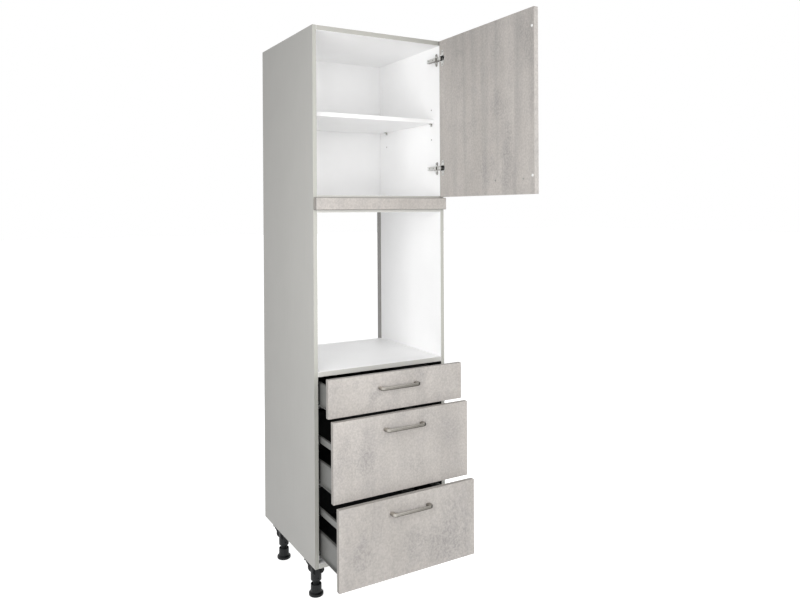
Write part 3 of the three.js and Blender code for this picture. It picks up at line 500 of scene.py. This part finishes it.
def make_finishes():
    white = srgb(249, 249, 249)
    # painted shade that stands for the unlit drawer space
    unlit = srgb(30, 30, 31)
    cup_heights = [(z - ORIGIN_Z) * MM for _, z in HINGES]
    FINISH.update(
        outer=laminate("grey_laminate", srgb(173, 172, 168), lines=0.018),
        strip=laminate("rear_strip", srgb(148, 147, 144)),
        edge=laminate("grey_edging", srgb(181, 181, 174), 0.45),
        board_edge=laminate("board_edging", srgb(203, 202, 197), 0.45),
        white=laminate("white_laminate", white),
        wall=wall_laminate("white_wall", white, unlit, -0.019),
        # the top edging carries a painted shadow strip at its hinge end
        top_edge=edging_with_painted_shadow("top_edging", srgb(181, 180, 174), srgb(96, 94, 90), 0.28),
        unlit=laminate("painted_drawer_shade", unlit, 0.6),
        sill=sill_laminate("white_sill", white, unlit, -0.243),
        raw=raw_board("raw_chipboard"),
        back=laminate("white_back", srgb(246, 246, 246), 0.5),
        steel=powder_coat("steel_coat", srgb(112, 112, 110)),
        rail=powder_coat("rail_coat", srgb(118, 118, 116)),
        inside=laminate("anthracite_board", srgb(44, 44, 46), 0.6),
        zinc=metal("zinc", srgb(205, 206, 207), 0.4),
        # painted shade and painted reflection: darker downwards, at the right end and gradually
        # towards it
        nickel=metal("satin_nickel", srgb(203, 199, 191), 0.3, (0.06, 1, 1), 0.1,
                     painted_facets=((srgb(56, 52, 45), (-0.5, -0.3, 0.8), -0.05, 0.8),
                             (srgb(26, 23, 19), (-1, 0, 0), -0.42, -0.08)),
                     painted_fade=(-0.08, 0.06, 0.64)),
        nickel_across=metal("satin_nickel_across", srgb(164, 159, 150), 0.3, (1, 0.06, 1), 0.1),
        # painted shade on the faces turned away from the left
        hinge=metal("hinge_nickel", srgb(222, 222, 219), 0.26,
                    painted_facets=((srgb(122, 118, 110), (-1, 0, 0), 0.1, 0.8),)),
        # painted shadows in the mouths of the cups
        cup=metal("cup_nickel", srgb(226, 226, 223), 0.3, painted_cup_shadows=cup_heights),
        dark=metal("hinge_shadow", srgb(40, 38, 34), 0.5),
        black=plastic("leg_plastic", srgb(26, 27, 28), 0.44, gloss=0.28),
        sole=plastic("foot_plastic", srgb(15, 16, 17), 0.36, gloss=0.28),
        roller=plastic("roller_plastic", srgb(226, 226, 222), 0.4, 0.05),
        clear=plastic("bumper_plastic", srgb(240, 241, 240), 0.2, 0.02),
    )
    for name, tones in EDGINGS.items():
        FINISH[name] = concrete(name, *[srgb(*tone) for tone in tones], streaks=0.2)
    light, dark, patch = srgb(189, 184, 179), srgb(177, 172, 167), srgb(138, 135, 135)
    for number, (name, patches) in enumerate(PATCHES.items()):
        door = name == "door"
        spots = [((0, across, z), (0, wide, high), strength) if door else
                 ((across, 0, z), (wide, 0, high), strength)
                 for across, z, wide, high, strength in patches]
        FINISH[name] = concrete(f"concrete_{name}", light, dark, patch, spots,
                                shift=(number * 3.1, 0, number * 1.7),
                                streaks=0.42 if door else 0.16)


# ---------------------------------------------------------------- carcass

def side_rule(side):
    """Grey outside, white inside with a strip of its own at the rear, raw in bores and grooves,
    and edging."""
    def rule(c, n):
        x = abs(c.x)
        if n.x * side > 0.9 and x > OUTER - 1:
            return 0
        if abs(n.x) > 0.9 and x < INNER + 0.2:
            return 4 if c.y > 520 else 2
        if INNER + 0.2 < x < OUTER - 1 and abs(n.z) < 0.9 and 0.5 < c.y < DEPTH - 1:
            return 3
        return 1
    return rule


def board_rule(grey_side=None, dark_side=None):
    """Edging in front, white elsewhere, and grey or the painted shade of the drawer space on the
    upper (1) or lower (-1) face.
    """
    def rule(c, n):
        if n.y < -0.9:
            return 1
        if grey_side and n.z * grey_side > 0.9:
            return 2
        if dark_side and n.z * dark_side > 0.9:
            return 3
        return 0
    return rule


def front_rule(c, n):
    return 0 if abs(n.y) > 0.9 else 1


def trim_rule(c, n):
    return 2 if abs(n.x) > 0.9 else front_rule(c, n)


# The front face of the lower back gets the painted shade of the drawer space.
def back_rule(c, n):
    return 1 if n.y < -0.9 else 0


def make_carcass():
    f = FINISH
    side_materials = [f["outer"], f["edge"], f["wall"], f["raw"], f["strip"]]
    for label, side in (("left", -1), ("right", 1)):
        dress(f"side_panel_{label}", f"side_{label}", side_materials, 0.6,
              side_rule(side))
    boards = [f["white"], f["board_edge"], f["outer"], f["unlit"]]
    dress("top_panel", "top_board", [f["white"], f["top_edge"], f["outer"]], 0.5,
          board_rule(grey_side=1))
    dress("compartment_floor", "compartment_board", boards, 0.5, board_rule())
    dress("niche_roof", "niche_roof_board", boards, 0.5, board_rule())
    # painted shade on the niche floor's underside, the bottom board's top and the lower back
    dress("niche_floor", "niche_floor_board", boards, 0.5,
          board_rule(dark_side=-1))
    dress("bottom_panel", "bottom_board", boards[:3] + [f["sill"]], 0.5,
          board_rule(grey_side=-1, dark_side=1))
    dress("back_panel_upper", "back_upper", [f["back"]], 0.2)
    dress("back_panel_lower", "back_lower", [f["back"], f["unlit"]], 0.2, back_rule)
    # the trim's rim, top and bottom faces get the painted shadow lines
    dress("trim_strip", "trim", [f["trim"], f["trim_edge_painted_shadow"], f["trim_end"]], 1.6,
          trim_rule, segments=3, rim=1)
    dress("shelf", "shelf_board", [f["white"]], 0.5)
    for place in ("front", "rear"):
        for label in ("left", "right"):
            dress(f"shelf_support_{place}_{label}", f"support_{place}_{label}",
                  [f["hinge"]], 0.2, flat_area=400)


# ---------------------------------------------------------------- legs

LEG_X, LEG_Y = 262, (("front", 80), ("rear", 428))
FLUTES, FLUTE_DEPTH = 18, 0.7           # round the grip of a foot
PITCH = 2.4                             # of the foot's thread


def foot_profile():
    """Radius and height of a foot, from the middle of its sole up over disc, grip and thread."""
    profile = [(0, -140), (25.8, -140), (28, -139.3), (28.8, -138), (29, -136), (29, -131.2),
               (28.7, -129.6), (27.8, -128.3), (26.4, -127.3), (24.4, -126.6), (22.6, -126.2),
               (21.8, -125.6), (21.5, -124.6), (21.5, -98.2), (21.2, -96), (20.5, -95),
               (19.1, -95), (18.5, -95.8), (18.5, -107), (12.5, -107)]
    z = -106.0
    while z < -84:
        profile += [(12.4, z), (11.7, z + 0.8), (11.7, z + 1.2), (12.4, z + 2)]
        z += PITCH
    return profile + [(12.4, -82), (12.4, -18), (11.4, -16), (0, -16)]


def fluted(r, z, turn):
    """The grip's radius in metres, with narrow flutes; the rest stays round."""
    if 21 < r < 21.7 and -125 * MM < z < -97 * MM:
        return r * MM - FLUTE_DEPTH * MM * (0.5 + 0.5 * math.cos(turn * FLUTES)) ** 3
    return r * MM


def make_legs():
    profile = [(r, h * MM) for r, h in foot_profile()]
    for place, y in LEG_Y:
        for label, side in (("left", -1), ("right", 1)):
            x = LEG_X * side
            foot = bmesh.new()
            spun(foot, profile, Matrix.Translation(at(x, y, 0)), 72, fluted)
            bmesh.ops.remove_doubles(foot, verts=foot.verts, dist=1e-7)
            for face in foot.faces:
                face.material_index = int(face.calc_center_median().z < at(0, 0, -124.7).z)
            obj = piece(f"screw_foot_{place}_{label}", foot, f"foot_{place}_{label}",
                        [FINISH["black"], FINISH["sole"]], 40)
            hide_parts(f"foot_{place}_{label}")
            dress(f"leg_socket_{place}_{label}", f"socket_{place}_{label}",
                  [FINISH["black"]], 0.5, sharp=40, flat_area=300)
            screws = bmesh.new()
            for dx, dy in ((-29, 0), (29, 0), (0, -29), (0, 29)):
                screw(screws, at(x + dx, y + dy, -2.9), (0, 0, -1), 3.6, 1.6)
            piece(f"socket_screws_{place}_{label}", screws, "carcass",
                  [FINISH["hinge"]], 30)


# ---------------------------------------------------------------- handles

HANDLE_HEIGHT = 13.0                    # of the bar


def arc(cx, cy, r, a0, a1, steps=9):
    angles = [math.radians(a0 + (a1 - a0) * i / steps) for i in range(steps + 1)]
    return [(cx + r * math.cos(a), cy + r * math.sin(a)) for a in angles]


def bow_outline():
    """A handle seen from above: its two legs, and the bar between two rounded corners."""
    half, leg, bar, reach, big, small = 88.0, 16.0, 9.0, 31.0, 15.0, 7.0
    inner, back = half - leg, -reach + bar
    points = [(-half, 0)] + arc(-half + big, -reach + big, big, 180, 270)
    points += arc(half - big, -reach + big, big, 270, 360) + [(half, 0), (inner, 0)]
    points += arc(inner - small, back + small, small, 0, -90, 6)
    points += arc(-inner + small, back + small, small, -90, -180, 6) + [(-inner, 0)]
    return points


def make_handle(node, name, origin, turned, finish):
    """A bow handle with softly rounded edges; its feet stand on the front at origin."""
    bm = bmesh.new()
    points = [Vector((x, y, -HANDLE_HEIGHT / 2)) * MM for x, y in bow_outline()]
    face = bm.faces.new([bm.verts.new(p) for p in points])
    grown = bmesh.ops.extrude_face_region(bm, geom=[face])
    for vert in [v for v in grown["geom"] if isinstance(v, bmesh.types.BMVert)]:
        vert.co.z += HANDLE_HEIGHT * MM
    bmesh.ops.recalc_face_normals(bm, faces=bm.faces)
    rim = [e for e in bm.edges if e.calc_face_angle() > math.radians(60)
           and any(abs(f.normal.z) > 0.9 for f in e.link_faces)]
    bmesh.ops.bevel(bm, geom=rim, offset=4 * MM, offset_type="OFFSET", segments=6, profile=0.5,
                    affect="EDGES", clamp_overlap=True)
    turn = Matrix.Rotation(math.pi / 2, 4, "Z") if turned else Matrix.Identity(4)
    bmesh.ops.transform(bm, matrix=Matrix.Translation(origin) @ turn, verts=bm.verts)
    obj = piece(name, bm, frame["nodes"][node]["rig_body"], [finish], 40, 500)
    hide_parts(node)


def make_handle_screws(name, body, points, axis):
    screws = bmesh.new()
    for point in points:
        screw(screws, point, axis, 4.0, 2.0, recess=1)
    # the cross recesses get the painted shadow
    piece(name, screws, body, [FINISH["hinge"], FINISH["dark"]], 30)


# ---------------------------------------------------------------- drawers

def roller_rule(low, high):
    """Faces of the roller, which stands off the sheet between two Y positions, are plastic."""
    def rule(c, n):
        return int(low < c.y < high and 271.8 < abs(c.x) < 281.6 and abs(n.y) < 0.999)
    return rule


def make_drawers():
    f = FINISH
    for name, out, bottom, height in DRAWERS:
        handle_z = bottom + height - 55
        rear = 484.8 - out
        # the edges of the fronts get the darker edging, painted shade of the gaps
        dress(f"{name}_front", f"{name}_face", [f[name], f["concrete_edge_painted_shade"]],
              0.6, front_rule, segments=3)
        make_handle(f"{name}_handle", f"{name}_bow", at(0, -22.8 - out, handle_z), False,
                    f["nickel"])
        for part in ("bottom", "back"):
            dress(f"{name}_{part}", f"{name}_{part}_board", [f["inside"]], 0.4)
        for label in ("left", "right"):
            dress(f"{name}_side_{label}", f"{name}_wall_{label}",
                  [f["steel"], f["roller"]], 0.35, roller_rule(rear - 8, rear + 8), flat_area=200)
            dress(f"{name}_runner_{label}", f"{name}_track_{label}",
                  [f["zinc"], f["roller"]], 0.3, roller_rule(11, 25), flat_area=200)
            if f"{name}_rail_{label}" in frame["nodes"]:
                dress(f"{name}_rail_{label}", f"{name}_gallery_{label}",
                      [f["rail"]], 0.8, flat_area=200, segments=3)
        points = [at(dx, -3.4 - out, handle_z) for dx in (-HANDLE_HALF, HANDLE_HALF)]
        make_handle_screws(f"{name}_handle_screws", name, points, (0, 1, 0))


# ---------------------------------------------------------------- door

def door_rule(c, n):
    """Decor on the broad faces, raw board in the bores of the hinge cups, and edging."""
    bored = DOOR_IN + 0.2 < c.x < DOOR_OUT - 0.5
    if abs(n.x) > 0.9:
        return 2 if bored else 0
    return 2 if bored and abs(n.x) < 0.5 and -50 < c.y < -6.1 else 1


def make_door():
    f = FINISH
    dress("door_panel", "door_face", [f["door"], f["door_edge"], f["raw"]], 0.6,
          door_rule, segments=3)
    y, z = DOOR_HANDLE
    make_handle("door_handle", "door_bow", at(DOOR_OUT + 0.3, y, z), True, f["nickel_across"])
    points = [at(278.95, y + dy, z) for dy in (-HANDLE_HALF, HANDLE_HALF)]
    make_handle_screws("door_handle_screws", "door", points, (-1, 0, 0))
    dome = [(0, 0), (5, 0), (5, 0.9), (4.4, 1.6), (3, 2.1), (1.4, 2.3), (0, 2.35)]
    for label, z in (("top", 2024.5), ("bottom", 1498.5)):
        bumper = bmesh.new()
        spun(bumper, [(r * MM, h * MM) for r, h in dome],
             aim(at(278.95, -592.5, z), (-1, 0, 0)), 28)
        piece(f"door_bumper_{label}", bumper, "door", [f["clear"]], 50)


# ---------------------------------------------------------------- hinges

# x, y, height from the hinge's middle, radius, head and spin of the screws
ARM_SCREWS = ((267.45, 30, 0, 3.4, 1.3, 0.2), (267.45, 58, 0, 3.6, 1.2, 0.9),
              (280.6, 23, -20, 4.2, 1.8, 0.6), (280.6, 23, 20, 4.2, 1.8, 0.6))
CUP_SCREWS = ((278.05, -29, -26, 3.6, 1.0, 0.3), (278.05, -29, 26, 3.6, 1.0, 0.3))


def arm_rule(c, n):
    """The inside of the slot at the rear of the arm gets the painted shadow."""
    return int(c.y > 63 and 268 < abs(c.x) < 276.5 and abs(n.z) < 0.95 and n.y < 0.9)


def make_cup_lips(bm, z):
    """Thin segments of a circle, above and below the mouth of a cup."""
    steps = 12
    start = math.asin(MOUTH_HALF / CUP_RADIUS)
    angles = [start + (math.pi - 2 * start) * i / steps for i in range(steps + 1)]
    for up in (-1, 1):
        lip = [(CUP_RADIUS * math.cos(a), up * CUP_RADIUS * math.sin(a)) for a in angles]
        rows = [[bm.verts.new(at(x, CUP_Y + dy, z + dz)) for dy, dz in lip]
                for x in (278.2, 278.7)]
        bm.faces.new(rows[0])
        bm.faces.new(rows[1])
        for i in range(len(lip)):
            bm.faces.new([rows[0][i], rows[0][i - 1], rows[1][i - 1], rows[1][i]])


def make_hinges():
    f = FINISH
    # hinge_shadow is painted shade, in the arm's slot and the screws' cross recesses
    metals = [f["hinge"], f["dark"]]
    for label, z in HINGES:
        dress(f"hinge_arm_{label}", f"arm_{label}", metals, 0.35, arm_rule,
              flat_area=300)
        dress(f"hinge_link_{label}", f"link_{label}", metals, 0.2, flat_area=300)
        dress(f"hinge_cup_{label}", f"cup_{label}", [f["cup"]], 0.15,
              flat_area=300)
        for name, body, table in (("arm", "carcass", ARM_SCREWS), ("cup", "door", CUP_SCREWS)):
            screws = bmesh.new()
            for x, y, dz, radius, height, spin in table:
                screw(screws, at(x, y, z + dz), (-1, 0, 0), radius, height, spin, 1)
            piece(f"{name}_screws_{label}", screws, body, metals, 30)
        lips = bmesh.new()
        make_cup_lips(lips, z)
        piece(f"cup_lips_{label}", lips, "door", [f["cup"]], 30)


# ---------------------------------------------------------------- studio

AMBIENT, BACKDROP = 0.39, 1.0           # strength of the world for the object and for the eye
FLOOR_Z, FLOOR_REACH = -0.8967, 40      # metres
FLOOR_TONE, FLOOR_GLOW = 0.62, 0.86

# name, place, target, width and height in metres, and power in watts
LAMPS = (("key", (-1500, -1100, 1300), (0, 0, 1100), 1.2, 1.6, 30),
         ("fill", (700, -3600, 1500), (0, 200, 1100), 1.6, 2.2, 62),
         ("rear", (1700, 2500, 1700), (100, 300, 1000), 1.4, 1.8, 14),
         ("side", (2600, 600, 1300), (300, 250, 1000), 1.6, 2.2, 42))


def seen_rays(tree):
    """A factor that is 1 for camera, glossy and transmission rays."""
    path = tree.nodes.new("ShaderNodeLightPath")
    total = path.outputs["Is Camera Ray"]
    for key in ("Is Glossy Ray", "Is Transmission Ray"):
        node = tree.nodes.new("ShaderNodeMath")
        node.operation = "MAXIMUM"
        tree.links.new(total, node.inputs[0])
        tree.links.new(path.outputs[key], node.inputs[1])
        total = node.outputs[0]
    return total


def glow_by_rays(tree, kind, unseen, seen):
    """A white glow of strength seen for the rays of seen_rays(), and unseen for all others."""
    mix = tree.nodes.new("ShaderNodeMixShader")
    tree.links.new(seen_rays(tree), mix.inputs[0])
    for socket, strength in ((mix.inputs[1], unseen), (mix.inputs[2], seen)):
        node = tree.nodes.new(kind)
        node.inputs["Color"].default_value = (1, 1, 1, 1)
        node.inputs["Strength"].default_value = strength
        tree.links.new(node.outputs[0], socket)
    return mix.outputs[0]


def area_light(name, place, target, width, height, power):
    data = bpy.data.lights.new(name, "AREA")
    data.shape = "RECTANGLE"
    data.size = width
    data.size_y = height
    data.energy = power
    light = bpy.data.objects.new(name, data)
    bpy.context.scene.collection.objects.link(light)
    turn = (place - target).to_track_quat("Z", "Y").to_matrix().to_4x4()
    light.matrix_world = Matrix.Translation(place) @ turn
    light.visible_camera = False
    light.visible_glossy = False


def make_studio():
    world = bpy.data.worlds.new("studio")
    bpy.context.scene.world = world
    world.use_nodes = True
    tree = world.node_tree
    tree.nodes.clear()
    out = tree.nodes.new("ShaderNodeOutputWorld")
    tree.links.new(glow_by_rays(tree, "ShaderNodeBackground", AMBIENT, BACKDROP), out.inputs[0])

    mesh = bpy.data.meshes.new("floor")
    reach = FLOOR_REACH
    mesh.from_pydata([(-reach, -reach, FLOOR_Z), (reach, -reach, FLOOR_Z),
                      (reach, reach, FLOOR_Z), (-reach, reach, FLOOR_Z)], [], [(0, 1, 2, 3)])
    floor = bpy.data.objects.new("floor", mesh)
    bpy.context.scene.collection.objects.link(floor)
    s = Shader("floor", 0.8)
    s.set(Base_Color=(FLOOR_TONE, FLOOR_TONE, FLOOR_TONE, 1), Specular_IOR_Level=0.1)
    both = s.tree.nodes.new("ShaderNodeAddShader")
    s.put(both.inputs[0], s.surface.outputs[0])
    s.put(both.inputs[1], glow_by_rays(s.tree, "ShaderNodeEmission", 0.0, FLOOR_GLOW))
    s.put(s.out.inputs["Surface"], both.outputs[0])
    mesh.materials.append(s.material)

    for name, place, target, width, height, power in LAMPS:
        area_light(name, at(*place), at(*target), width, height, power)


bpy.context.scene.view_settings.view_transform = "Standard"
bpy.context.scene.cycles.diffuse_bounces = 10       # so that light reaches into the compartments
make_camera()
make_finishes()
make_carcass()
make_legs()
make_drawers()
make_door()
make_hinges()
make_studio()
